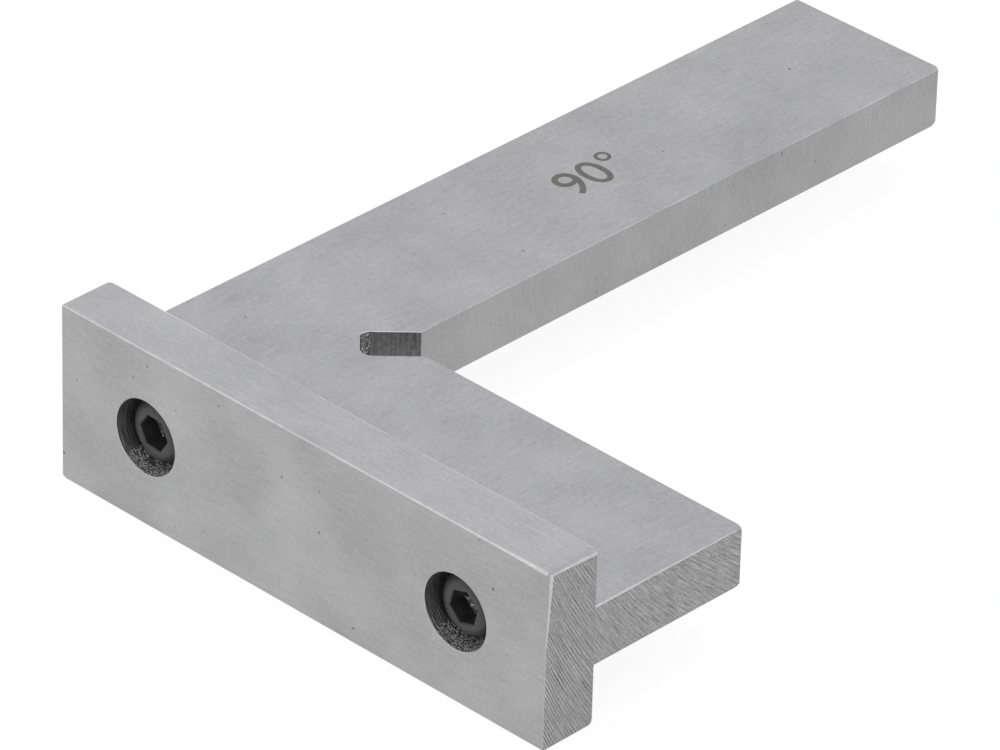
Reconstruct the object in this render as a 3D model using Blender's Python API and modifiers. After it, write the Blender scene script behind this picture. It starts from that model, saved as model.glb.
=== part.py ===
"""A small steel try square with a screwed-on foot, modelled piece by piece in metres.

The blade is one flat L of ground steel with a relief slot at its inner corner. The foot is a flat bar that
stands square to the blade, and two socket head screws in counterbores hold it to the short leg's outer edge.
The origin is the middle of the base: +Z is the blade's upper face, +Y runs up the long leg to its tip.
"""
import math

import bmesh
import bpy

# Blade and foot
LONG_LEG = 0.075  # from the outer edge of the short leg to the tip
SHORT_LEG = 0.050  # from the outer edge of the long leg to the milled end
LONG_LEG_WIDTH = 0.015
SHORT_LEG_WIDTH = 0.015
BLADE_THICKNESS = 0.005
FOOT_THICKNESS = 0.005
FOOT_HEIGHT = 0.015
SEAT_GAP = 0.00002  # between faces that the screws pull together

# Relief slot at the inner corner, so that a sharp work edge can sit right in it
RELIEF_WIDTH = 0.0032
RELIEF_DEPTH = 0.0031  # past the inner corner, along the diagonal
RELIEF_FILLET = 0.0006

# Finished edges
EDGE_BREAK = 0.00015
CORNER_ROUND = 0.0001  # what is left of a round corner inside its broken edge

# Screws, metric size 3
SCREW_START = 0.009  # from the outer edge of the long leg to the first screw
SCREW_SPACING = 0.032
SCREW_LENGTH = 0.008  # under the head
THREAD_DIAMETER = 0.003
THREAD_PITCH = 0.0005
THREAD_CLEARANCE = 0.00005  # radial, between the screw's thread and the tapped one
HEAD_DIAMETER = 0.0055
HEAD_HEIGHT = 0.003
HEAD_EDGE_RADIUS = 0.0004
SOCKET_ACROSS_FLATS = 0.0025
SOCKET_DEPTH = 0.0015
SCREW_TURNS = {"left": -4.0, "right": 16.0}  # degrees that each screw stops at

# Holes for the screws
HEAD_RECESS = 0.00085  # head top below the foot's face
HEAD_CLEARANCE = 0.00035  # around the head in its counterbore
SHANK_CLEARANCE = 0.0002  # around the thread in the foot
TAP_ALLOWANCE = 0.0005  # full thread cut past the screw's tip
PILOT_ALLOWANCE = 0.0005  # hole drilled past the end of that thread
ENTRY_CHAMFER = 0.0002
DRILL_POINT = math.radians(118)

# Facets of the round shapes, and the reach of a cutter past the face that it enters
HEAD_FACETS = 40
THREAD_FACETS = 12
RUN_OUT_TURNS = 2  # of a threaded rod, past the full thread at each end
CORNER_FACETS = 4
SOCKET_SIDES = 6
OVERCUT = 0.001
MERGE_DISTANCE = 1e-7
SHARP_ANGLE = math.radians(40)

# Places that follow from the sizes above
FRONT_Y = -(FOOT_THICKNESS + SEAT_GAP + LONG_LEG) / 2
FOOT_BACK_Y = FRONT_Y + FOOT_THICKNESS
BLADE_EDGE_Y = FOOT_BACK_Y + SEAT_GAP
LEFT_X = -SHORT_LEG / 2
MIDDLE_Z = FOOT_HEIGHT / 2
THREAD_RADIUS = THREAD_DIAMETER / 2
THREAD_HEIGHT = THREAD_PITCH * math.cos(math.radians(30)) * 5 / 8  # of a metric thread, 60 degrees
COUNTERBORE_DEPTH = HEAD_HEIGHT + HEAD_RECESS
FOOT_WEB = FOOT_THICKNESS - COUNTERBORE_DEPTH


def fresh_collection(name):
    """A new collection in the scene, for the parts or for what shapes them."""
    collection = bpy.data.collections.new(name)
    bpy.context.scene.collection.children.link(collection)
    return collection


def steel(name, colour, roughness):
    """A metal with one colour and one roughness."""
    material = bpy.data.materials.new(name)
    material.use_nodes = True
    shader = material.node_tree.nodes["Principled BSDF"]
    shader.inputs["Base Color"].default_value = (*colour, 1.0)
    shader.inputs["Metallic"].default_value = 1.0
    shader.inputs["Roughness"].default_value = roughness
    material.diffuse_color = (*colour, 1.0)
    return material


def add_part(name, mesh):
    """A piece of the square, as an object of its own."""
    part = bpy.data.objects.new(name, mesh)
    parts.objects.link(part)
    return part


def add_cutter(name, mesh):
    """A shape that cuts or trims a piece and isn't one itself."""
    cutter = bpy.data.objects.new(name, mesh)
    cutter.hide_render = True
    cutter.display_type = "WIRE"
    cutters.objects.link(cutter)
    return cutter


def shape_with(part, cutter, operation):
    """Cuts, trims or joins a piece with another closed shape."""
    modifier = part.modifiers.new(cutter.name, "BOOLEAN")
    modifier.operation = operation
    modifier.object = cutter


def evaluated_mesh(shaped):
    """The mesh of an object as its modifiers leave it."""
    graph = bpy.context.evaluated_depsgraph_get()
    return bpy.data.meshes.new_from_object(shaped.evaluated_get(graph))


def turned(name, profile, facets):
    """A cutter turned about Z from a profile of (radius, height) points that runs down from the top."""
    mesh = bpy.data.meshes.new(name)
    bm = bmesh.new()
    points = [bm.verts.new((radius, 0.0, height)) for radius, height in profile]
    for pair in zip(points, points[1:]):
        bm.edges.new(pair)
    bm.to_mesh(mesh)
    bm.free()
    shape = add_cutter(name, mesh)
    screw = shape.modifiers.new("turn", "SCREW")
    screw.steps = facets
    screw.render_steps = facets
    screw.use_merge_vertices = True
    screw.merge_threshold = MERGE_DISTANCE
    return shape


def box_mesh(name, size):
    """A box centred on its own origin."""
    mesh = bpy.data.meshes.new(name)
    bm = bmesh.new()
    bmesh.ops.create_cube(bm, size=1.0)
    bmesh.ops.scale(bm, vec=size, verts=bm.verts)
    bm.to_mesh(mesh)
    bm.free()
    return mesh


def flat_mesh(name, outline, thickness):
    """A plate of the given outline, centred on the plane that the outline lies in."""
    curve = bpy.data.curves.new(name, "CURVE")
    curve.dimensions = "2D"
    curve.fill_mode = "BOTH"
    curve.extrude = thickness / 2
    spline = curve.splines.new("POLY")
    spline.points.add(len(outline) - 1)
    for point, (x, y) in zip(spline.points, outline):
        point.co = (x, y, 0.0, 1.0)
    spline.use_cyclic_u = True
    drawing = add_cutter(name, curve)
    mesh = evaluated_mesh(drawing)
    bpy.data.objects.remove(drawing)
    bm = bmesh.new()
    bm.from_mesh(mesh)
    bmesh.ops.remove_doubles(bm, verts=bm.verts, dist=MERGE_DISTANCE)
    bmesh.ops.dissolve_limit(bm, angle_limit=SHARP_ANGLE, verts=bm.verts, edges=bm.edges)
    bmesh.ops.recalc_face_normals(bm, faces=bm.faces)
    bm.to_mesh(mesh)
    bm.free()
    return mesh


def upright(edge):
    """Whether an edge runs along Z."""
    start, end = (vertex.co for vertex in edge.verts)
    return (end - start).xy.length < MERGE_DISTANCE


def lies_at(edge, axis, place):
    """Whether both ends of an edge have this coordinate."""
    return all(abs(vertex.co[axis] - place) < MERGE_DISTANCE for vertex in edge.verts)


def bevel_edges(mesh, chosen, width, facets):
    """Bevels the outside edges that a test picks: flat with one facet, round with more."""
    bm = bmesh.new()
    bm.from_mesh(mesh)
    picked = [edge for edge in bm.edges
              if edge.is_convex and edge.calc_face_angle() > SHARP_ANGLE and chosen(edge)]
    bmesh.ops.bevel(bm, geom=picked, offset=width, segments=facets, profile=0.5, affect="EDGES")
    bm.to_mesh(mesh)
    bm.free()


def thread_mesh(name, crest_radius, top, bottom):
    """A closed rod with a right-hand thread about Z, full from top to bottom and run out past both."""
    crest = THREAD_PITCH / 8  # the flats of a metric thread
    root = THREAD_PITCH / 4
    flank = (THREAD_PITCH - crest - root) / 2
    root_radius = crest_radius - THREAD_HEIGHT
    first_turn = math.floor(bottom / THREAD_PITCH) - RUN_OUT_TURNS
    turns = math.ceil(top / THREAD_PITCH) + RUN_OUT_TURNS - 1 - first_turn
    start = first_turn * THREAD_PITCH
    outline = (
        (root_radius, start),
        (root_radius, start + root),
        (crest_radius, start + root + flank),
        (crest_radius, start + root + flank + crest),
        (root_radius, start + THREAD_PITCH),
    )
    bm = bmesh.new()
    points = [bm.verts.new((radius, 0.0, height)) for radius, height in outline]
    edges = [bm.edges.new(pair) for pair in zip(points, points[1:])]
    bmesh.ops.spin(bm, geom=points + edges, cent=(0, 0, 0), axis=(0, 0, 1), angle=turns * math.tau,
                   steps=turns * THREAD_FACETS, dvec=(0, 0, THREAD_PITCH / THREAD_FACETS))
    bmesh.ops.remove_doubles(bm, verts=bm.verts, dist=MERGE_DISTANCE)
    rims = [edge for edge in bm.edges if edge.is_boundary]
    caps = bmesh.ops.holes_fill(bm, edges=rims, sides=0)["faces"]
    bmesh.ops.poke(bm, faces=caps)
    bmesh.ops.recalc_face_normals(bm, faces=bm.faces)
    mesh = bpy.data.meshes.new(name)
    bm.to_mesh(mesh)
    bm.free()
    return mesh


def screw_mesh():
    """A socket head screw along Z, with the underside of its head at height zero."""
    thread_top = HEAD_HEIGHT / 4  # buried in the head
    screw = add_cutter("thread", thread_mesh("thread", THREAD_RADIUS, thread_top, -SCREW_LENGTH))
    trim_radius = THREAD_RADIUS + OVERCUT
    tip_radius = THREAD_RADIUS - THREAD_HEIGHT
    trim = turned("thread_ends", (
        (0.0, thread_top),
        (trim_radius, thread_top),
        (trim_radius, trim_radius - tip_radius - SCREW_LENGTH),
        (tip_radius, -SCREW_LENGTH),
        (0.0, -SCREW_LENGTH),
    ), HEAD_FACETS)
    head_radius = HEAD_DIAMETER / 2
    rounding = [i * math.pi / 2 / CORNER_FACETS for i in range(CORNER_FACETS + 1)]
    head = turned("head", (
        (0.0, HEAD_HEIGHT),
        *((head_radius - HEAD_EDGE_RADIUS * (1 - math.sin(angle)),
           HEAD_HEIGHT - HEAD_EDGE_RADIUS * (1 - math.cos(angle))) for angle in rounding),
        (head_radius, 0.0),
        (0.0, 0.0),
    ), HEAD_FACETS)
    corner_radius = SOCKET_ACROSS_FLATS / 2 / math.cos(math.pi / SOCKET_SIDES)
    socket = turned("hex_socket", (
        (0.0, HEAD_HEIGHT + OVERCUT),
        (corner_radius, HEAD_HEIGHT + OVERCUT),
        (corner_radius, HEAD_HEIGHT - SOCKET_DEPTH),
        (0.0, HEAD_HEIGHT - SOCKET_DEPTH - corner_radius / math.tan(DRILL_POINT / 2)),
    ), SOCKET_SIDES)
    shape_with(screw, trim, "INTERSECT")
    shape_with(screw, head, "UNION")
    shape_with(screw, socket, "DIFFERENCE")
    mesh = evaluated_mesh(screw)
    mesh.name = "socket_head_screw"
    mesh.materials.append(steel("black_oxide_steel", (0.02, 0.02, 0.022), 0.45))
    mesh.shade_smooth()
    mesh.set_sharp_from_angle(angle=SHARP_ANGLE)
    bpy.data.objects.remove(screw)
    return mesh


def make_blade():
    """The L with its broken edges and relief slot. Its own origin is the outer corner of the L."""
    outline = (
        (0.0, 0.0),
        (SHORT_LEG, 0.0),
        (SHORT_LEG, SHORT_LEG_WIDTH),
        (LONG_LEG_WIDTH, SHORT_LEG_WIDTH),
        (LONG_LEG_WIDTH, LONG_LEG),
        (0.0, LONG_LEG),
    )
    mesh = flat_mesh("blade", outline, BLADE_THICKNESS)
    bevel_edges(mesh, lambda edge: upright(edge) and not lies_at(edge, 1, 0.0),
                EDGE_BREAK + CORNER_ROUND, CORNER_FACETS)
    bevel_edges(mesh, lambda edge: not lies_at(edge, 1, 0.0), EDGE_BREAK, 1)
    mesh.materials.append(steel("ground_plate_steel", (0.42, 0.42, 0.43), 0.35))
    blade = add_part("blade", mesh)
    blade.location = (LEFT_X, BLADE_EDGE_Y, MIDDLE_Z)

    mouth = RELIEF_WIDTH + EDGE_BREAK  # reach of the cutter into the open angle of the L
    length = mouth + RELIEF_DEPTH
    slot_mesh = box_mesh("relief_slot", (length, RELIEF_WIDTH, BLADE_THICKNESS + 2 * OVERCUT))
    bevel_edges(slot_mesh, lambda edge: upright(edge) and lies_at(edge, 0, -length / 2),
                RELIEF_FILLET, CORNER_FACETS)
    slot = add_cutter("relief_slot", slot_mesh)
    along = (mouth - RELIEF_DEPTH) / 2 / math.sqrt(2)
    slot.parent = blade
    slot.location = (LONG_LEG_WIDTH + along, SHORT_LEG_WIDTH + along, 0.0)
    slot.rotation_euler.z = math.radians(45)
    shape_with(blade, slot, "DIFFERENCE")
    return blade


def make_foot():
    """The bar across the short leg. The edge at its milled end, where it meets the blade, stays sharp."""
    mesh = box_mesh("foot", (SHORT_LEG, FOOT_THICKNESS, FOOT_HEIGHT))
    bevel_edges(mesh, lambda edge: upright(edge) and lies_at(edge, 0, -SHORT_LEG / 2),
                EDGE_BREAK + CORNER_ROUND, CORNER_FACETS)
    bevel_edges(mesh, lambda edge: not (upright(edge) and lies_at(edge, 1, FOOT_THICKNESS / 2)),
                EDGE_BREAK, 1)
    mesh.materials.append(steel("ground_bar_steel", (0.40, 0.40, 0.40), 0.4))
    foot = add_part("foot", mesh)
    foot.location = (0.0, FRONT_Y + FOOT_THICKNESS / 2, MIDDLE_Z)
    return foot


def add_screw(side, x, mesh, blade, foot):
    """A screw with the holes that it needs, all on one axis that points out of the foot."""
    axis = bpy.data.objects.new("screw_axis_" + side, None)
    axis.location = (x, FRONT_Y + COUNTERBORE_DEPTH, MIDDLE_Z)
    axis.rotation_euler.x = math.radians(90)
    parts.objects.link(axis)
    turn = math.radians(SCREW_TURNS[side])

    screw = add_part("foot_screw_" + side, mesh)
    screw.parent = axis
    screw.location.z = SEAT_GAP
    screw.rotation_euler.z = turn

    head_hole_radius = HEAD_DIAMETER / 2 + HEAD_CLEARANCE
    shank_hole_radius = THREAD_RADIUS + SHANK_CLEARANCE
    counterbore = turned("counterbore_" + side, (
        (0.0, COUNTERBORE_DEPTH + OVERCUT),
        (head_hole_radius, COUNTERBORE_DEPTH + OVERCUT),
        (head_hole_radius, 0.0),
        (shank_hole_radius, 0.0),
        (shank_hole_radius, -FOOT_WEB - OVERCUT),
        (0.0, -FOOT_WEB - OVERCUT),
    ), HEAD_FACETS)
    counterbore.parent = axis
    shape_with(foot, counterbore, "DIFFERENCE")

    blade_edge = -FOOT_WEB - SEAT_GAP
    tap_crest = THREAD_RADIUS + THREAD_CLEARANCE
    tap_end = -SCREW_LENGTH - TAP_ALLOWANCE
    tap = add_cutter("tap_" + side, thread_mesh("tap_" + side, tap_crest, blade_edge + OVERCUT, tap_end))
    tap.parent = axis
    tap.location.z = SEAT_GAP
    tap.rotation_euler.z = turn

    pilot_radius = tap_crest - THREAD_HEIGHT * 3 / 4
    entry_radius = tap_crest + ENTRY_CHAMFER
    pilot_end = tap_end - (RUN_OUT_TURNS + 1) * THREAD_PITCH - PILOT_ALLOWANCE
    pilot = turned("pilot_hole_" + side, (
        (0.0, blade_edge + OVERCUT),
        (entry_radius + OVERCUT, blade_edge + OVERCUT),
        (pilot_radius, blade_edge - entry_radius + pilot_radius),
        (pilot_radius, pilot_end),
        (0.0, pilot_end - pilot_radius / math.tan(DRILL_POINT / 2)),
    ), THREAD_FACETS)
    pilot.parent = axis
    pilot.rotation_euler.z = turn + math.pi / THREAD_FACETS  # its facets meet halfway along the thread's
    shape_with(blade, pilot, "DIFFERENCE")
    shape_with(blade, tap, "DIFFERENCE")


for leftover in list(bpy.data.objects):
    bpy.data.objects.remove(leftover)
parts = fresh_collection("try_square")
cutters = fresh_collection("try_square_cutters")

square_blade = make_blade()
square_foot = make_foot()
socket_screw = screw_mesh()
for index, screw_side in enumerate(SCREW_TURNS):
    screw_x = LEFT_X + SCREW_START + index * SCREW_SPACING
    add_screw(screw_side, screw_x, socket_screw, square_blade, square_foot)
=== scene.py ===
"""Looks of a small steel try square: ground, milled and blackened finishes, broken edges and a plain mark.

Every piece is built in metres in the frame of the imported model, and stands for a node of it.
"""
import math

import bmesh
import bpy
from mathutils import Euler, Matrix, Vector, noise


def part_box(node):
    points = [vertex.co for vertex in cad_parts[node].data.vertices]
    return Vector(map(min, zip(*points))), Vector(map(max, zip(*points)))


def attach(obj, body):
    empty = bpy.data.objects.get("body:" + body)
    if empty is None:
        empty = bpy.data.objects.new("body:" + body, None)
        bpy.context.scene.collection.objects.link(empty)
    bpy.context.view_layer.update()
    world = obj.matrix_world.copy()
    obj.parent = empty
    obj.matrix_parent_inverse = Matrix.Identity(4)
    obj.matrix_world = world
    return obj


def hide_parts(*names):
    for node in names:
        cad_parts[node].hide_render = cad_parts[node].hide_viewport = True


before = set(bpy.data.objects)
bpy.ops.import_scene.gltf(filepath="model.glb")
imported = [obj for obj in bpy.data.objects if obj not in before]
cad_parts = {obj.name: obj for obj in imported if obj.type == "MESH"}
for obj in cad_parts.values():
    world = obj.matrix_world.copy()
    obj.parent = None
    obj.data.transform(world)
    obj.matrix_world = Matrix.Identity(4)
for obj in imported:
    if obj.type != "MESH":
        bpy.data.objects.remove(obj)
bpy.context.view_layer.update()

# Blade
# One flat L of hardened steel plate, with a relief slot milled into its inner corner. Both faces are surface
# ground along the long leg and the edges are ground square to them. Every rim is broken with a stone, and the
# corners at the ends of the inner edges are rounded off. The end of the short leg is milled with the foot.
MM = 0.001
hair = MM / 1000  # points closer to a plane than this lie in it
blade_low, blade_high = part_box("blade")
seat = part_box("foot")[1].y  # the plane where the foot is screwed down on the blade
screw_axes = [sum(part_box("foot_screw_" + side), Vector()) / 2 for side in ("left", "right")]
leg_widths = Vector((15.3, 15.2)) * MM  # of the long leg and the short one
slot_width = 3.4 * MM
slot_depth = 3.1 * MM  # past the inner corner, along the diagonal
slot_aside = 0.15 * MM  # the slot lies this far off the corner, towards the foot and the milled end
slot_fillets = (1.0 * MM, 0.75 * MM)  # of its blind corners, towards the milled end and towards the tip
fillet_steps = 12
tip_rounding = 0.4 * MM  # of the upright corner between the tip and the inner edge
end_rounding = 0.12 * MM  # of the one between the inner edge and the milled end
rounding_steps = 8
slot_break = 0.05 * MM
slot_break_steps = 2
inner_break = 0.06 * MM
tip_break = 0.15 * MM
outer_break = 0.1 * MM
milled_break = 0.1 * MM
break_steps = 4
sharp = math.radians(30)  # an edge whose faces turn by more than this is a sharp one
unshaded_length = 4.6 * MM  # of the short leg's inner edge next to the slot, which is left without the painted shade of the edge
mill_radius = 67 * MM  # of the face mill that cut the end of the short leg, along Z
mill_feed = 0.48 * MM  # from one tooth's arc to the next
mill_middle = 20 * MM  # Y of the middle of its path
mill_deep = -40 * MM  # Y where its arcs are deepest
mill_faint = -35 * MM  # Y where they have faded
tap_radius = 1.55 * MM
tap_depth = 7.8 * MM  # a millimetre past the end of the screw
cutter_overlap = 1 * MM  # how far a cutter stands out of the face that it cuts
hole_steps = 96
curve_turn = math.radians(8)  # more than a round wall turns from one step to the next
SHARE, FIRST, SECOND, MIXED = 0, 6, 7, 2  # the sockets of a mix of two colours, and its output


def linear(hex_colour):
    """An sRGB hex colour as the linear RGBA that shader sockets take."""
    channels = [int(hex_colour[i:i + 2], 16) / 255 for i in (1, 3, 5)]
    return (*(c / 12.92 if c <= 0.04045 else ((c + 0.055) / 1.055) ** 2.4 for c in channels), 1.0)


def set_sockets(material, node, sockets):
    """Sets a shader node's sockets: another node's output becomes a link, and anything else a value."""
    for name, value in sockets.items():
        if isinstance(value, bpy.types.NodeSocket):
            material.node_tree.links.new(value, node.inputs[name])
        else:
            node.inputs[name].default_value = value


def add_node(material, kind, settings=None, sockets=None):
    """Adds a shader node with its settings and its sockets."""
    new = material.node_tree.nodes.new(kind)
    for name, value in (settings or {}).items():
        setattr(new, name, value)
    set_sockets(material, new, sockets or {})
    return new


def new_material(name, sockets):
    """A material with these sockets of its shader, returned with that shader."""
    material = bpy.data.materials.new(name)
    material.use_nodes = True
    shader = material.node_tree.nodes["Principled BSDF"]
    set_sockets(material, shader, sockets)
    return material, shader


def per_mm(*sizes):
    """Pattern scales for features of these sizes in millimetres."""
    return tuple(1 / (size * MM) for size in sizes)


def ground_steel(name, dull, bright, streak, grit, roughness, pits=0.86, patches=0.9):
    """Ground steel: the wheel leaves short parallel streaks, and single grains of grit break them up.

    Streak is the size of a streak along X, Y and Z and grit that of a grain's mark, in mm. Real ones are
    under 0.05 mm wide, too fine to show, so they are drawn several times as coarse. Pits are the few dark
    specks that grinding leaves, fewer with a higher number, and patches say how strongly the tone drifts.
    """
    streak_weight = 0.9  # against the grains
    cloud_size = 6.0  # of the drifts of tone, in mm
    pit_size = 0.5  # in mm, of the noise whose few highest spots are the pits
    pit_edge = 0.04  # the rise of the noise from the steel's tone to a pit's
    scratch_depth = 0.005 * MM
    noise_mean = (streak_weight + 1 + patches) / 2  # of streaks, grains and clouds together
    material, shader = new_material(name, {"Metallic": 1.0, "Roughness": roughness})
    place = add_node(material, "ShaderNodeTexCoord").outputs["Object"]
    along = add_node(material, "ShaderNodeMapping", None, {"Vector": place, "Scale": per_mm(*streak)})
    streaks = add_node(material, "ShaderNodeTexNoise", None, {
        "Vector": along.outputs["Vector"], "Scale": 1.0, "Detail": 2.0})
    grains = add_node(material, "ShaderNodeTexNoise", None, {
        "Vector": place, "Scale": per_mm(grit)[0], "Detail": 2.0, "Roughness": 0.6})
    clouds = add_node(material, "ShaderNodeTexNoise", None, {
        "Vector": place, "Scale": per_mm(cloud_size)[0], "Detail": 1.0})
    marks = add_node(material, "ShaderNodeMath", {"operation": "MULTIPLY_ADD"}, {
        0: streaks.outputs["Fac"], 1: streak_weight, 2: grains.outputs["Fac"]})
    toned = add_node(material, "ShaderNodeMath", {"operation": "MULTIPLY_ADD"}, {
        0: clouds.outputs["Fac"], 1: patches, 2: marks.outputs["Value"]})
    share = add_node(material, "ShaderNodeMapRange", None, {
        "Value": toned.outputs["Value"], "From Min": noise_mean - 0.5, "From Max": noise_mean + 0.5})
    steel = add_node(material, "ShaderNodeMix", {"data_type": "RGBA"}, {
        SHARE: share.outputs["Result"], FIRST: linear(dull), SECOND: linear(bright)})

    hollows = add_node(material, "ShaderNodeTexNoise", None, {
        "Vector": place, "Scale": per_mm(pit_size)[0], "Detail": 0.0})
    pit = add_node(material, "ShaderNodeMapRange", None, {
        "Value": hollows.outputs["Fac"], "From Min": pits, "From Max": pits + pit_edge})
    pitted = add_node(material, "ShaderNodeMix", {"data_type": "RGBA"}, {
        SHARE: pit.outputs["Result"], FIRST: steel.outputs[MIXED], SECOND: linear("#767677")})
    bump = add_node(material, "ShaderNodeBump", None, {
        "Height": marks.outputs["Value"], "Strength": 0.3, "Distance": scratch_depth})
    set_sockets(material, shader, {
        "Base Color": pitted.outputs[MIXED], "Normal": bump.outputs["Normal"]})
    return material


# Ground flat along Y: soft grey with fine streaks, a little cool.
plate_face = ground_steel("ground_steel_plate", "#9b9b9d", "#b3b3b5", (0.16, 2.4, 2.4), 0.38, 0.38)
# Ground across its edges: fine upright scratches, a shade darker.
plate_edge = ground_steel("ground_steel_edge", "#909091", "#a8a8a9", (0.12, 0.12, 1.3), 0.22, 0.40)
# Just touched with a stone: a broken bright line, a painted highlight, lost here and there in the tone of the
# faces.
painted_highlight_touched_edge = ground_steel("touched_steel_painted_highlight", "#909090", "#e0e0e0", (3.0, 3.0, 3.0), 0.4, 0.36)
# Broken with a stone and polished by it, and by handling; it is brighter than the faces, and that brightness
# is a painted highlight along the edge.
painted_highlight_stoned_edge = ground_steel("stoned_steel_painted_highlight", "#acacac", "#dadada", (0.9, 0.9, 0.9), 0.25, 0.30)
# Rounded and left, and darker than the faces: painted shade on the rims that lie underneath or turn away from
# the light.
painted_shade_edge = ground_steel("painted_shade_steel_edge", "#7c7c7c", "#9c9c9c", (0.9, 0.9, 0.9), 0.4, 0.45)
# Milled and left: the slot's walls keep upright cutter marks and are dull.
slot_wall = ground_steel("milled_steel_slot", "#6c6c6c", "#b6b6b6", (0.16, 0.16, 3.0), 0.3, 0.45)


def torn_steel(name, dull, bright, ring, speck, whole_at, torn_at, relief):
    """Steel cut with a small tool and left: fine rings, and bright specks where the tool tore the steel.

    Ring and speck are the sizes of the marks along X, Y and Z. The tearing grows from one height, where the
    steel is whole, to another, and the relief is the depth of the marks; all are in mm.
    """
    speck_from, speck_to = 0.53, 0.64  # of the noise, from plain steel to a bright speck
    speck_rise = 1.6  # against the rings
    material, shader = new_material(name, {"Metallic": 1.0, "Roughness": 0.38})
    place = add_node(material, "ShaderNodeTexCoord").outputs["Object"]
    around = add_node(material, "ShaderNodeMapping", None, {"Vector": place, "Scale": per_mm(*ring)})
    rings = add_node(material, "ShaderNodeTexNoise", None, {
        "Vector": around.outputs["Vector"], "Scale": 1.0, "Detail": 2.0})
    ringed = add_node(material, "ShaderNodeMix", {"data_type": "RGBA"}, {
        SHARE: rings.outputs["Fac"], FIRST: linear(dull), SECOND: linear(bright)})
    across = add_node(material, "ShaderNodeMapping", None, {"Vector": place, "Scale": per_mm(*speck)})
    tears = add_node(material, "ShaderNodeTexNoise", None, {
        "Vector": across.outputs["Vector"], "Scale": 1.0, "Detail": 2.0, "Roughness": 0.7})
    specks = add_node(material, "ShaderNodeMapRange", None, {
        "Value": tears.outputs["Fac"], "From Min": speck_from, "From Max": speck_to})
    axes = add_node(material, "ShaderNodeSeparateXYZ", None, {0: place})
    worse = add_node(material, "ShaderNodeMapRange", None, {
        "Value": axes.outputs["Z"], "From Min": whole_at * MM, "From Max": torn_at * MM})
    torn = add_node(material, "ShaderNodeMath", {"operation": "MULTIPLY"}, {
        0: specks.outputs["Result"], 1: worse.outputs["Result"]})
    steel = add_node(material, "ShaderNodeMix", {"data_type": "RGBA"}, {
        SHARE: torn.outputs["Value"], FIRST: ringed.outputs[MIXED], SECOND: linear("#e8e8e8")})
    height = add_node(material, "ShaderNodeMath", {"operation": "MULTIPLY_ADD"}, {
        0: torn.outputs["Value"], 1: speck_rise, 2: rings.outputs["Fac"]})
    bump = add_node(material, "ShaderNodeBump", None, {
        "Height": height.outputs["Value"], "Strength": 0.8, "Distance": relief * MM})
    set_sockets(material, shader, {
        "Base Color": steel.outputs[MIXED], "Normal": bump.outputs["Normal"]})
    return material


# The blind end of the slot, where the cutter chattered: dull, with bright specks all over.
slot_floor = torn_steel("torn_steel_slot", "#4a4a4a", "#868686",
                        (0.4, 0.4, 0.2), (0.18, 0.18, 0.18), 20.0, 8.0, 0.03)
# Bored and left: dark where little light gets in, with fine rings, and torn at the lower side.
bored_wall = torn_steel("bored_steel", "#848484", "#dcdcdc",
                        (2.0, 0.14, 2.0), (0.22, 0.12, 0.22), 5.3, 4.5, 0.075)


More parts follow.
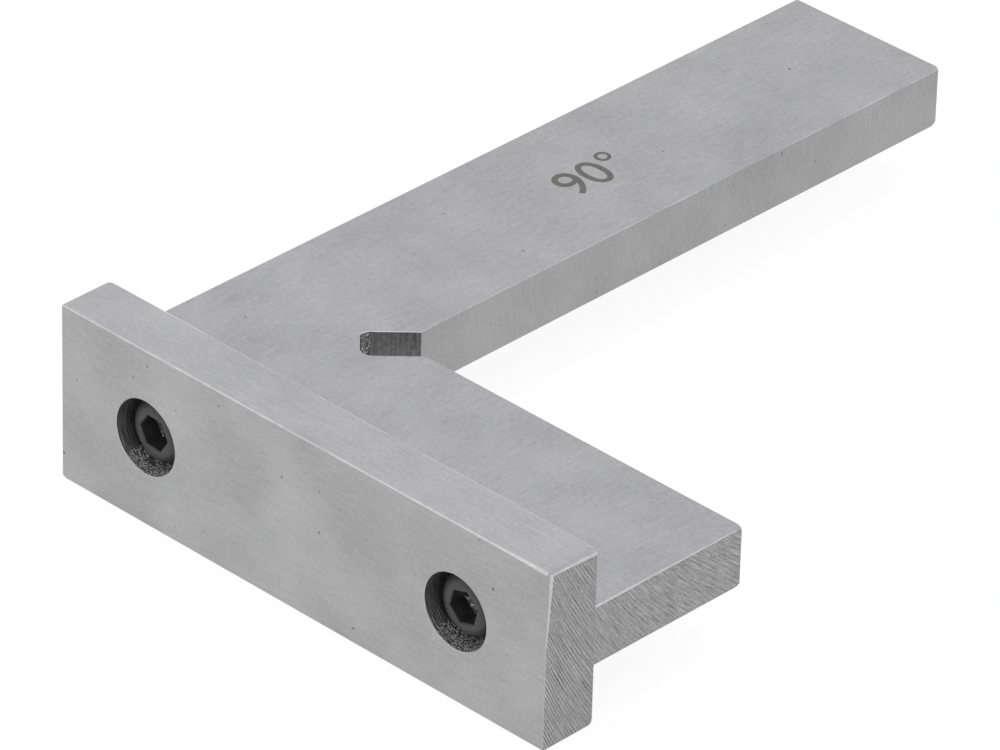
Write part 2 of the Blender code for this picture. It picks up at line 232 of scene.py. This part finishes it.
def milled_steel(name, dull, bright, arcs):
    """Face-milled steel: the mill's teeth leave a row of thin dark arcs, and between them finer scratches.

    Arcs says how strong the arcs are. They run on from piece to piece, because the pieces were milled
    together, and they wander and come in patches. The scratches are drawn coarser than real ones, which
    are too fine to show. Sizes are in mm, across the arcs and along them.
    """
    wander_size = (0.8, 9.0, 1.0)
    wander = 0.5  # of a feed
    arc_reach = 0.36  # of a feed, from the middle of an arc to the plain steel beside it
    arc_dark, arc_light = -0.64, 0.36  # what an arc, and the steel beside it, adds to the tone
    patch_size = 2.0
    patch_low, patch_high = 0.35, 0.65  # of the noise, where the arcs are weakest and where they are full
    weakest = arcs / 4
    deep_gain, faint_gain = 1.5, 0.5
    scratch_size = (0.10, 1.4, 1.0)
    scratch = 0.25
    grain_size = 0.14
    grain = 0.12
    noise_low, noise_high = 0.3, 0.7  # most of a noise lies between these
    relief = 0.02 * MM
    material, shader = new_material(name, {"Metallic": 1.0, "Roughness": 0.40})
    place = add_node(material, "ShaderNodeTexCoord").outputs["Object"]
    axes = add_node(material, "ShaderNodeSeparateXYZ", None, {0: place})
    aside = add_node(material, "ShaderNodeMath", {"operation": "SUBTRACT"}, {
        0: axes.outputs["Y"], 1: mill_middle})
    squared = add_node(material, "ShaderNodeMath", {"operation": "POWER"}, {
        0: aside.outputs["Value"], 1: 2.0})
    left = add_node(material, "ShaderNodeMath", {"operation": "SUBTRACT"}, {
        0: mill_radius ** 2, 1: squared.outputs["Value"]})
    rise = add_node(material, "ShaderNodeMath", {"operation": "SQRT"}, {0: left.outputs["Value"]})
    path = add_node(material, "ShaderNodeMath", {"operation": "ADD"}, {
        0: rise.outputs["Value"], 1: axes.outputs["Z"]})
    strip = add_node(material, "ShaderNodeCombineXYZ", None, {
        "X": path.outputs["Value"], "Y": axes.outputs["Y"]})
    spread = add_node(material, "ShaderNodeMapping", None, {
        "Vector": strip.outputs["Vector"], "Scale": per_mm(*wander_size)})
    uneven = add_node(material, "ShaderNodeTexNoise", {"noise_dimensions": "2D"}, {
        "Vector": spread.outputs["Vector"], "Scale": 1.0, "Detail": 1.0})
    passes = add_node(material, "ShaderNodeMath", {"operation": "DIVIDE"}, {
        0: path.outputs["Value"], 1: mill_feed})
    phase = add_node(material, "ShaderNodeMath", {"operation": "MULTIPLY_ADD"}, {
        0: uneven.outputs["Fac"], 1: wander, 2: passes.outputs["Value"]})
    tooth = add_node(material, "ShaderNodeMath", {"operation": "PINGPONG"}, {
        0: phase.outputs["Value"], 1: 0.5})
    line = add_node(material, "ShaderNodeMapRange", {"interpolation_type": "SMOOTHSTEP"}, {
        "Value": tooth.outputs["Value"], "From Max": arc_reach, "To Min": arc_dark, "To Max": arc_light})
    patches = add_node(material, "ShaderNodeTexNoise", None, {
        "Vector": place, "Scale": per_mm(patch_size)[0]})
    depth = add_node(material, "ShaderNodeMapRange", None, {
        "Value": patches.outputs["Fac"], "From Min": patch_low, "From Max": patch_high,
        "To Min": weakest, "To Max": arcs})
    fade = add_node(material, "ShaderNodeMapRange", None, {
        "Value": axes.outputs["Y"], "From Min": mill_deep, "From Max": mill_faint,
        "To Min": deep_gain, "To Max": faint_gain})
    faded = add_node(material, "ShaderNodeMath", {"operation": "MULTIPLY"}, {
        0: depth.outputs["Result"], 1: fade.outputs["Result"]})
    cut = add_node(material, "ShaderNodeMath", {"operation": "MULTIPLY"}, {
        0: line.outputs["Result"], 1: faded.outputs["Value"]})
    drawn = add_node(material, "ShaderNodeMapping", None, {
        "Vector": strip.outputs["Vector"], "Scale": per_mm(*scratch_size)})
    scratches = add_node(material, "ShaderNodeTexNoise", {"noise_dimensions": "2D"}, {
        "Vector": drawn.outputs["Vector"], "Scale": 1.0, "Detail": 2.0, "Roughness": 0.6})
    scored = add_node(material, "ShaderNodeMapRange", None, {
        "Value": scratches.outputs["Fac"], "From Min": noise_low, "From Max": noise_high,
        "To Min": 0.5 - scratch, "To Max": 0.5 + scratch})
    lines = add_node(material, "ShaderNodeMath", {"operation": "ADD"}, {
        0: scored.outputs["Result"], 1: cut.outputs["Value"]})
    grains = add_node(material, "ShaderNodeTexNoise", None, {
        "Vector": place, "Scale": per_mm(grain_size)[0], "Detail": 1.0})
    grained = add_node(material, "ShaderNodeMapRange", None, {
        "Value": grains.outputs["Fac"], "From Min": noise_low, "From Max": noise_high,
        "To Min": -grain, "To Max": grain})
    share = add_node(material, "ShaderNodeMath", {"operation": "ADD"}, {
        0: lines.outputs["Value"], 1: grained.outputs["Result"]})
    steel = add_node(material, "ShaderNodeMix", {"data_type": "RGBA"}, {
        SHARE: share.outputs["Value"], FIRST: linear(dull), SECOND: linear(bright)})
    bump = add_node(material, "ShaderNodeBump", None, {
        "Height": share.outputs["Value"], "Strength": 0.4, "Distance": relief})
    set_sockets(material, shader, {
        "Base Color": steel.outputs[MIXED], "Normal": bump.outputs["Normal"]})
    return material


# Face-milled with the foot already screwed on: darker than ground steel, with curved lines of light and dark.
milled_end = milled_steel("milled_steel_blade", "#5c5c5c", "#bababa", 0.44)


def flat_bar(outline, low, high, finishes, face):
    """A sharp-edged bar between two heights, from its corners, each with the finish of the side after it."""
    bm = bmesh.new()
    rings = [[bm.verts.new((*corner, level)) for corner, _ in outline] for level in (low, high)]
    for index, (_, finish) in enumerate(outline):
        ends = (index, (index + 1) % len(outline))
        wall = bm.faces.new([rings[0][end] for end in ends] + [rings[1][end] for end in reversed(ends)])
        wall.material_index = finishes.index(finish)
    for ring in (rings[0][::-1], rings[1]):
        bm.faces.new(ring).material_index = finishes.index(face)
    bm.normal_update()
    return bm


def lies_in(vertex, planes):
    """Whether a vertex lies in all of these planes, each given by its axis and its height on it."""
    return all(abs(getattr(vertex.co, axis) - level) < hair for axis, level in planes.items())


def break_edges(bm, edges, size, finish, steps):
    """Rounds edges off to this size, with this finish."""
    bmesh.ops.bevel(bm, geom=edges, offset=size, offset_type="OFFSET", segments=steps, profile=0.5,
                    affect="EDGES", material=finish)


def round_edges(bm, size, finish, steps=break_steps, **planes):
    """Rounds the sharp edges that lie in all of these planes."""
    edges = [edge for edge in bm.edges if edge.calc_face_angle() > sharp
             and all(lies_in(vertex, planes) for vertex in edge.verts)]
    break_edges(bm, edges, size, finish, steps)


def stone_flat(bm, finish, *points):
    """Takes the corner outside the plane of three points off a bar that stands round its middle."""
    middle = sum((vertex.co for vertex in bm.verts), Vector()) / len(bm.verts)
    normal = (points[1] - points[0]).cross(points[2] - points[0])
    if (middle - points[0]).dot(normal) > 0:
        normal.negate()
    cut = bmesh.ops.bisect_plane(bm, geom=[*bm.verts, *bm.edges, *bm.faces], plane_co=points[0],
                                 plane_no=normal, clear_outer=True)
    rim = [part for part in cut["geom_cut"] if isinstance(part, bmesh.types.BMEdge)]
    for face in bmesh.ops.contextual_create(bm, geom=rim)["faces"]:
        face.material_index = finish
    bmesh.ops.recalc_face_normals(bm, faces=bm.faces)


def finished_mesh(name, bm, finishes):
    """The mesh of a finished form, with its finishes; the form is put away."""
    mesh = bpy.data.meshes.new(name)
    bm.to_mesh(mesh)
    bm.free()
    for finish in finishes:
        mesh.materials.append(finish)
    return mesh


def add_object(name, data):
    """A new object in the scene."""
    new = bpy.data.objects.new(name, data)
    bpy.context.scene.collection.objects.link(new)
    return new


def add_piece(name, mesh, node):
    """A piece of the square in the scene, in place of a node of the frame."""
    piece = add_object(name, mesh)
    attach(piece, "root")
    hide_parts(node)
    return piece


def turned(name, profile, steps, *finishes):
    """A closed shape turned about Z from a profile of (radius, height) points that runs down from the top."""
    bm = bmesh.new()
    points = [bm.verts.new((radius, 0.0, height)) for radius, height in profile]
    edges = [bm.edges.new(pair) for pair in zip(points, points[1:])]
    bmesh.ops.spin(bm, geom=points + edges, cent=(0, 0, 0), axis=(0, 0, 1), angle=math.tau, steps=steps)
    bmesh.ops.remove_doubles(bm, verts=bm.verts, dist=hair / 10)
    bmesh.ops.recalc_face_normals(bm, faces=bm.faces)
    return finished_mesh(name, bm, finishes)


def screw_place(axis, level):
    """Where a screw or its hole stands: Z points out of the foot's front, from the plane at this Y."""
    return Matrix.Translation((axis.x, level, axis.z)) @ Matrix.Rotation(math.radians(90), 4, "X")


def drill(piece, cutter_mesh, place):
    """Cuts a hole with a shape that is then put away; the hole takes the cutter's finish."""
    cutter = add_object("cutter", cutter_mesh)
    cutter.matrix_world = place
    cut = piece.modifiers.new("hole", "BOOLEAN")
    cut.operation = "DIFFERENCE"
    cut.material_mode = "TRANSFER"
    cut.object = cutter
    drilled = bpy.data.meshes.new_from_object(
        piece.evaluated_get(bpy.context.evaluated_depsgraph_get()))
    piece.modifiers.clear()
    piece.data = drilled
    bpy.data.objects.remove(cutter)


def smooth_curves(piece):
    """Shades the finely stepped round walls as one curve, and leaves every coarser edge as it is."""
    piece.data.shade_smooth()
    piece.data.set_sharp_from_angle(angle=curve_turn)


outer = Vector((blade_low.x, seat))
inner = blade_low.xy + leg_widths
mouth = slot_width / math.sqrt(2)  # of the slot, along either leg
slot_end = inner - Vector((slot_depth, slot_depth)) / math.sqrt(2) + Vector((slot_aside, -slot_aside))
slot_side = Vector((slot_width, -slot_width)) / 2 / math.sqrt(2)
mouth_corner = inner + Vector((mouth + 2 * slot_aside, 0.0))
unshaded_end = mouth_corner + Vector((unshaded_length, 0.0))
tip_corner = Vector((inner.x, blade_high.y))
end_corner = Vector((blade_high.x, inner.y))
corner_flats = (  # a few flats round each end corner off, and reach this far into it along X, Y and Z, in mm
    (tip_corner, blade_high.z, (0.5, 0.5, -0.3), (0.3, 0.3, -0.6)),
    (tip_corner, blade_low.z, (0.75, 0.75, 0.35), (0.55, 0.55, 0.6), (0.38, 0.38, 0.95)),
    (end_corner, blade_high.z, (0.45, 0.85, -0.2), (0.2, 0.4, -0.45)),
    (end_corner, blade_low.z, (0.22, 0.42, 0.2), (0.1, 0.2, 0.4)),
)
blade_finishes = [plate_face, plate_edge, milled_end, slot_wall, slot_floor, painted_highlight_touched_edge, painted_highlight_stoned_edge,
                  painted_shade_edge]
blade_form = flat_bar((
    (outer, plate_edge),
    (Vector((blade_high.x, seat)), milled_end),
    (end_corner, plate_edge),
    (unshaded_end, plate_edge),
    (mouth_corner, slot_wall),
    (slot_end + slot_side, slot_floor),
    (slot_end - slot_side, slot_wall),
    (inner + Vector((0.0, mouth - 2 * slot_aside)), plate_edge),
    (tip_corner, plate_edge),
    (Vector((outer.x, blade_high.y)), plate_edge),
), blade_low.z, blade_high.z, blade_finishes, plate_face)
# Rounds the blind corners of the slot and the ends of the inner edge; the one at the milled end gets the
# painted shade.
for corner, size, finish, steps in (
        (slot_end + slot_side, slot_fillets[0], slot_floor, fillet_steps),
        (slot_end - slot_side, slot_fillets[1], slot_floor, fillet_steps),
        (tip_corner, tip_rounding, plate_edge, rounding_steps),
        (end_corner, end_rounding, painted_shade_edge, rounding_steps)):
    round_edges(blade_form, size, blade_finishes.index(finish), steps, x=corner.x, y=corner.y)
slot_sides = [blade_finishes.index(finish) for finish in (slot_wall, slot_floor)]
slot_rims = [edge for edge in blade_form.edges if edge.calc_face_angle() > sharp
             and sum(face.material_index in slot_sides for face in edge.link_faces) == 1
             and abs(edge.verts[0].co.z - edge.verts[1].co.z) < hair]
# The slot's rims are stoned, with a painted highlight.
break_edges(blade_form, slot_rims, slot_break, blade_finishes.index(painted_highlight_stoned_edge), slot_break_steps)
# Breaks the rims; the ones underneath and the ones turned away from the light get the painted shade.
for size, finish, planes in (
        (tip_break, painted_shade_edge, {"y": blade_high.y}),
        (inner_break, painted_highlight_touched_edge, {"z": blade_high.z, "x": inner.x}),
        (inner_break, painted_shade_edge, {"z": blade_low.z, "x": inner.x}),
        (tip_break, painted_shade_edge, {"z": blade_high.z, "y": inner.y}),
        (outer_break, painted_shade_edge, {"z": blade_low.z, "y": inner.y}),
        (outer_break, plate_edge, {"z": blade_high.z, "x": outer.x}),
        (outer_break, plate_edge, {"z": blade_low.z, "x": outer.x}),
        (milled_break, painted_highlight_stoned_edge, {"z": blade_high.z, "x": blade_high.x}),
        (milled_break, painted_shade_edge, {"z": blade_low.z, "x": blade_high.x})):
    round_edges(blade_form, size, blade_finishes.index(finish), **planes)
# The short leg's inner edge next to the slot is left without the painted shade.
for face in blade_form.faces:
    if (blade_finishes[face.material_index] is painted_shade_edge
            and inner.x < face.calc_center_median().x < unshaded_end.x):
        face.material_index = blade_finishes.index(plate_face)
for corner, level, *flats in corner_flats:
    for x, y, z in flats:
        stone_flat(blade_form, blade_finishes.index(plate_face), *(
            Vector((*corner, level)) + Vector(reach) * MM for reach in ((-x, 0, 0), (0, -y, 0), (0, 0, z))))
blade = add_piece("blade_ground", finished_mesh("blade_steel", blade_form, blade_finishes),
                  "blade")
for axis in screw_axes:
    tap = turned("tapped_hole", (
        (0.0, cutter_overlap),
        (tap_radius, cutter_overlap),
        (tap_radius, -tap_depth),
        (0.0, -tap_depth),
    ), hole_steps, bored_wall)
    drill(blade, tap, screw_place(axis, seat))
smooth_curves(blade)

# Foot
# A flat bar of the same steel, screwed square across the short leg. Its front is the reference face, ground
# with a fine wheel, and its long edges are ground along the bar. Two counterbores take the screw heads, and
# the corners of both ends are stoned off by hand.
foot_low, foot_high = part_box("foot")
front_break = 0.1 * MM
back_break = 0.21 * MM
lower_rounding = 0.45 * MM
end_break = 0.15 * MM
counterbore_radius = 3.1 * MM
counterbore_depth = 3.85 * MM
counterbore_break = 0.06 * MM
counterbore_rings = 14
ring_crowding = 1.5  # the rings of the mesh lie closer together towards the rim
chatter = 0.015 * MM
chatter_per_mm = 3.0
tear = 0.05 * MM  # how far the rim is torn out at its worst
tear_depth = 4 * tear  # how far down the wall the tearing goes
tears_per_mm = 0.9
shank_hole_radius = 1.7 * MM
shank_hole_depth = 6 * MM  # out of the back of the foot

# Ground along X with a fine wheel: matt, with faint streaks, soft patches and a few dark specks.
bar_face = ground_steel("ground_steel_bar", "#9d9d9e", "#b2b2b3", (1.8, 1.8, 0.2), 0.32, 0.42, 0.815, 1.3)
# Ground along X: close bright lines.
bar_edge = ground_steel("ground_steel_bar_edge", "#a1a1a3", "#bababc", (2.0, 0.16, 0.16), 0.34, 0.36)
# Milled as the blade's end is, in the same pass, but the arcs show more.
milled_foot = milled_steel("milled_steel_foot", "#545454", "#b8b8b8", 0.5)

foot_finishes = [bar_face, bar_edge, plate_edge, milled_foot, painted_highlight_stoned_edge, painted_shade_edge]
foot_form = flat_bar((
    (foot_low.xy, bar_face),
    (Vector((foot_high.x, foot_low.y)), milled_foot),
    (foot_high.xy, bar_face),
    (Vector((foot_low.x, foot_high.y)), plate_edge),
), foot_low.z, foot_high.z, foot_finishes, bar_edge)
# Breaks the rims; the ones underneath get the painted shade.
for size, finish, planes in (
        (lower_rounding, painted_shade_edge, {"z": foot_low.z, "y": foot_high.y}),
        (end_break, plate_edge, {"x": foot_low.x}),
        (back_break, painted_highlight_stoned_edge, {"z": foot_high.z, "y": foot_high.y}),
        (front_break, painted_shade_edge, {"z": foot_low.z, "y": foot_low.y}),
        (front_break, painted_shade_edge, {"z": foot_low.z, "x": foot_high.x})):
    round_edges(foot_form, size, foot_finishes.index(finish), **planes)


def stone_corner(finish, corner, *points):
    """Stones a flat across a corner of the foot, through points in mm from that corner."""
    stone_flat(foot_form, foot_finishes.index(finish), *(corner + Vector(point) * MM for point in points))


milled_front = Vector((foot_high.x, foot_low.y, foot_high.z))
plain_front = Vector((foot_low.x, foot_low.y, foot_high.z))
plain_back = Vector((foot_low.x, foot_high.y, foot_high.z))
# The top of the milled end, in two strokes along it, and then its back corner, in one along the bar.
stone_corner(bar_edge, foot_high, (-0.26, 0.0, 0.0), (-0.16, -5.0, 0.0), (-0.03, -5.0, -0.2))
stone_corner(painted_highlight_stoned_edge, foot_high, (-0.03, -5.0, -0.2), (0.0, -5.0, -0.4), (0.0, 0.0, -0.6))
stone_corner(painted_highlight_stoned_edge, foot_high, (-14.0, 0.0, 0.0), (0.0, -0.3, 0.0), (0.0, 0.0, -0.14))
# The edges of the front, and then the front corner of the milled end: a stroke along the bar and two down.
round_edges(foot_form, front_break, foot_finishes.index(bar_edge), y=foot_low.y, x=foot_high.x)
round_edges(foot_form, front_break, foot_finishes.index(painted_highlight_stoned_edge), y=foot_low.y)
stone_corner(painted_highlight_stoned_edge, milled_front, (-9.0, 0.0, 0.0), (0.0, 0.25, 0.0), (0.0, 0.0, -0.2))
stone_corner(bar_face, milled_front, (0.0, 0.0, -7.0), (-0.1, 0.0, 0.0), (-0.05, 0.28, 0.0))
stone_corner(painted_highlight_stoned_edge, milled_front, (0.0, 0.0, -7.0), (-0.05, 0.28, 0.0), (0.0, 0.65, 0.0))
# The bottom of the plain end, its upper front corner, and its upper back corner, made round by three strokes.
stone_corner(plate_edge, foot_low, (0.55, 0.0, 0.0), (0.0, 0.0, 0.25), (0.0, 5.0, 0.25))
stone_corner(bar_edge, plain_front, (0.25, 0.0, 0.0), (0.0, 0.3, 0.0), (0.0, 0.0, -0.3))
for x, y, z in ((0.68, 0.28, -3.0), (0.5, 0.5, -4.0), (0.28, 0.68, -3.2)):
    stone_corner(bar_edge, plain_back, (x, 0.0, 0.0), (0.0, -y, 0.0), (0.0, 0.0, z))
foot = add_piece("foot_ground", finished_mesh("foot_steel", foot_form, foot_finishes), "foot")

bore_length = counterbore_depth - counterbore_break
bore_depths = [counterbore_break + bore_length * (ring / counterbore_rings) ** ring_crowding
               for ring in range(counterbore_rings + 1)]
for axis in screw_axes:
    bore = turned("counterbore", (
        (0.0, cutter_overlap),
        (counterbore_radius + counterbore_break + cutter_overlap, cutter_overlap),
        *((counterbore_radius, -depth) for depth in bore_depths),
        (shank_hole_radius, -counterbore_depth),
        (shank_hole_radius, -shank_hole_depth),
        (0.0, -shank_hole_depth),
    ), hole_steps, bored_wall, bar_edge)
    for vertex in bore.vertices:
        wide = vertex.co.xy.length > (shank_hole_radius + counterbore_radius) / 2
        if wide and vertex.co.z > hair - counterbore_depth:
            spot = (vertex.co + axis) / MM
            torn = max(0.0, noise.noise(spot * tears_per_mm)) * max(0.0, 1 + vertex.co.z / tear_depth)
            shaken = chatter * noise.noise(spot * chatter_per_mm)
            vertex.co.xy *= 1 + (shaken + tear * min(torn, 1)) / counterbore_radius
    for face in bore.polygons:
        face.material_index = int(face.center.z > -counterbore_break)
    drill(foot, bore, screw_place(axis, foot_low.y))
smooth_curves(foot)

# Screws
# Two socket head cap screws, metric size 3, of alloy steel with a black oxide finish. The heads are forged
# with a hexagon socket and sit below the foot's face; the rolled threads run into tapped holes in the blade.
head_radius = 2.75 * MM
head_height = 3 * MM
head_recess = 0.83 * MM
head_rounding = 1.1 * MM  # across the head
head_fall = 1.6 * MM  # of that rounding, along the screw
head_steps = 6
socket_flats = 2.5 * MM
socket_sides = 6
socket_depth = 1.6 * MM
socket_chamfer = 0.1 * MM
socket_point = math.radians(75)  # of its blind end, from the screw's axis
thread_radius = 1.5 * MM
thread_depth = 0.27 * MM
thread_pitch = 0.5 * MM
thread_length = 8 * MM
rings_a_turn = 6
crease = math.radians(35)  # faces that turn by more than this meet in a sharp line
screw_turns = {"left": -4.0, "right": 16.0}  # degrees that each screw stops at


def black_oxide(name):
    """Black oxide on steel: a thin converted layer, near black and satin, mottled by the forging."""
    mottle_size = 0.3
    mottle_depth = 0.01 * MM
    material, shader = new_material(name, {})
    place = add_node(material, "ShaderNodeTexCoord").outputs["Object"]
    mottle = add_node(material, "ShaderNodeTexNoise", None, {
        "Vector": place, "Scale": per_mm(mottle_size)[0], "Detail": 3.0})
    colour = add_node(material, "ShaderNodeMix", {"data_type": "RGBA"}, {
        SHARE: mottle.outputs["Fac"], FIRST: linear("#202020"), SECOND: linear("#343434")})
    gloss = add_node(material, "ShaderNodeMapRange", None, {
        "Value": mottle.outputs["Fac"], "To Min": 0.2, "To Max": 0.45})
    bump = add_node(material, "ShaderNodeBump", None, {
        "Height": mottle.outputs["Fac"], "Strength": 0.3, "Distance": mottle_depth})
    set_sockets(material, shader, {
        "Base Color": colour.outputs[MIXED], "Roughness": gloss.outputs["Result"],
        "Normal": bump.outputs["Normal"]})
    return material


# Blackened and oiled: near black, with soft broad glints.
oxide = black_oxide("black_oxide_steel")
# The blind end of the socket: lighter than the oxide, with bright specks towards its lower side, a painted
# glint.
painted_glint_oxide = torn_steel("painted_glint_oxide_steel", "#303030", "#848484",
                        (0.5, 0.5, 0.5), (0.4, 0.4, 0.4), 7.6, 6.6, 0.03)

top = -head_recess
under_head = top - head_height
head_angles = [math.pi / 2 * step / head_steps for step in range(head_steps + 1)]
thread_rings = int(thread_length / thread_pitch * rings_a_turn)
socket_corner = socket_flats / 2 / math.cos(math.pi / socket_sides)
socket_end = top - socket_depth
for (side, degrees), axis in zip(screw_turns.items(), screw_axes):
    screw_mesh = turned("socket_head_screw", (
        (0.0, top),
        *((head_radius - head_rounding * (1 - math.sin(angle)), top - head_fall * (1 - math.cos(angle)))
          for angle in head_angles),
        (head_radius, under_head),
        *((thread_radius, under_head - thread_length * ring / thread_rings)
          for ring in range(thread_rings + 1)),
        (0.0, under_head - thread_length),
    ), hole_steps, oxide)
    for vertex in screw_mesh.vertices:
        if vertex.co.z < under_head - thread_pitch and vertex.co.xy.length > thread_radius / 2:
            phase = (vertex.co.z / thread_pitch - math.atan2(vertex.co.y, vertex.co.x) / math.tau) % 1.0
            vertex.co.xy *= 1 - thread_depth * abs(2 * phase - 1) / thread_radius
    screw_mesh.shade_smooth()
    screw_mesh.set_sharp_from_angle(angle=crease)
    screw = add_piece("socket_screw_" + side, screw_mesh, "foot_screw_" + side)
    socket = turned("hexagon_socket", (
        (0.0, top + cutter_overlap),
        (socket_corner + socket_chamfer + cutter_overlap, top + cutter_overlap),
        (socket_corner, top - socket_chamfer),
        (socket_corner, socket_end),
        (0.0, socket_end - socket_corner / math.tan(socket_point)),
    ), socket_sides, oxide, painted_glint_oxide)
    # The socket's blind end takes the painted glint.
    for face in socket.polygons:
        face.material_index = int(face.center.z < socket_end - hair)
    drill(screw, socket, Matrix.Rotation(math.radians(degrees), 4, "Z"))
    screw.data.transform(screw_place(axis, foot_low.y))

# Mark
# The plain angle of the square, marked on the long leg by laser: the beam darkens the ground face and leaves
# no relief. It reads along the leg, with its head towards the outer edge.
mark_height = 3.6 * MM  # of its figures
mark_lift = 0.004 * MM  # off the face, so that it shows
mark_place = Vector((-15.5 * MM, 8.3 * MM, blade_high.z + mark_lift))  # middle of its base line
letter_share = 0.73  # of the letter size, the height of a figure
stroke_swell = 0.02 * MM

# Steel oxidised by a laser: dark warm grey, matt.
laser_mark = ground_steel("laser_marked_steel", "#666562", "#7a7976", (0.3, 0.3, 0.3), 0.3, 0.6)

mark_text = bpy.data.curves.new("angle_mark", "FONT")
mark_text.body = "90°"
mark_text.size = mark_height / letter_share
mark_text.align_x = "CENTER"
mark_text.offset = stroke_swell
letters = add_object("letters", mark_text)
mark_mesh = bpy.data.meshes.new_from_object(letters.evaluated_get(bpy.context.evaluated_depsgraph_get()))
bpy.data.objects.remove(letters)
mark_mesh.transform(Matrix.Translation(mark_place) @ Matrix.Rotation(math.radians(90), 4, "Z"))
mark_mesh.materials.clear()
mark_mesh.materials.append(laser_mark)
add_piece("angle_mark", mark_mesh, "blade")

# Stage
# A light table: a sheet of opal plastic, lit from below so that the tool hardly casts a shadow on it. Even
# white light comes from all round, and one wide soft light hangs overhead.
sheet_size = 6.0
sheet_glow = 0.9
room_light = 1.0
lamp_size = 2.0
lamp_power = 6.0
lamp_height = 1.5

# Opal plastic: white and matt, with most of its brightness from the lamps below it.
opal, _ = new_material("opal_plastic", {
    "Base Color": linear("#606060"), "Roughness": 0.9, "Specular IOR Level": 0.0,
    "Emission Color": linear("#ffffff"), "Emission Strength": sheet_glow})

sheet_mesh = bpy.data.meshes.new("opal_sheet")
sheet_corners = [(x * sheet_size / 2, y * sheet_size / 2, 0) for x, y in ((-1, -1), (1, -1), (1, 1), (-1, 1))]
sheet_mesh.from_pydata(sheet_corners, [], [(0, 1, 2, 3)])
sheet_mesh.materials.append(opal)
floor = add_object("opal_sheet", sheet_mesh)

world = bpy.data.worlds.new("white_room")
world.use_nodes = True
world.node_tree.nodes["Background"].inputs["Color"].default_value = linear("#ffffff")
world.node_tree.nodes["Background"].inputs["Strength"].default_value = room_light
bpy.context.scene.world = world
bpy.context.scene.view_settings.view_transform = "Standard"

overhead_light = bpy.data.lights.new("overhead", "AREA")
overhead_light.size = lamp_size
overhead_light.energy = lamp_power
overhead = add_object("overhead", overhead_light)
overhead.location = (0.0, 0.0, lamp_height)
overhead.visible_camera = False

# Camera
# A long lens from the right, in front and above, from where the top, the foot's front and the milled end
# all show.
lens_length = 303.81
film_width = 36.0
camera_place = Vector((364.322, -400.235, 338.369)) * MM
camera_turns = (58.1726, -1.2915, 44.5225)  # degrees about X, Y and Z

camera_data = bpy.data.cameras.new("camera")
camera_data.sensor_width = film_width
camera_data.lens = lens_length
camera = add_object("camera", camera_data)
camera.location = camera_place
camera.rotation_euler = Euler([math.radians(turn) for turn in camera_turns])
bpy.context.scene.camera = camera
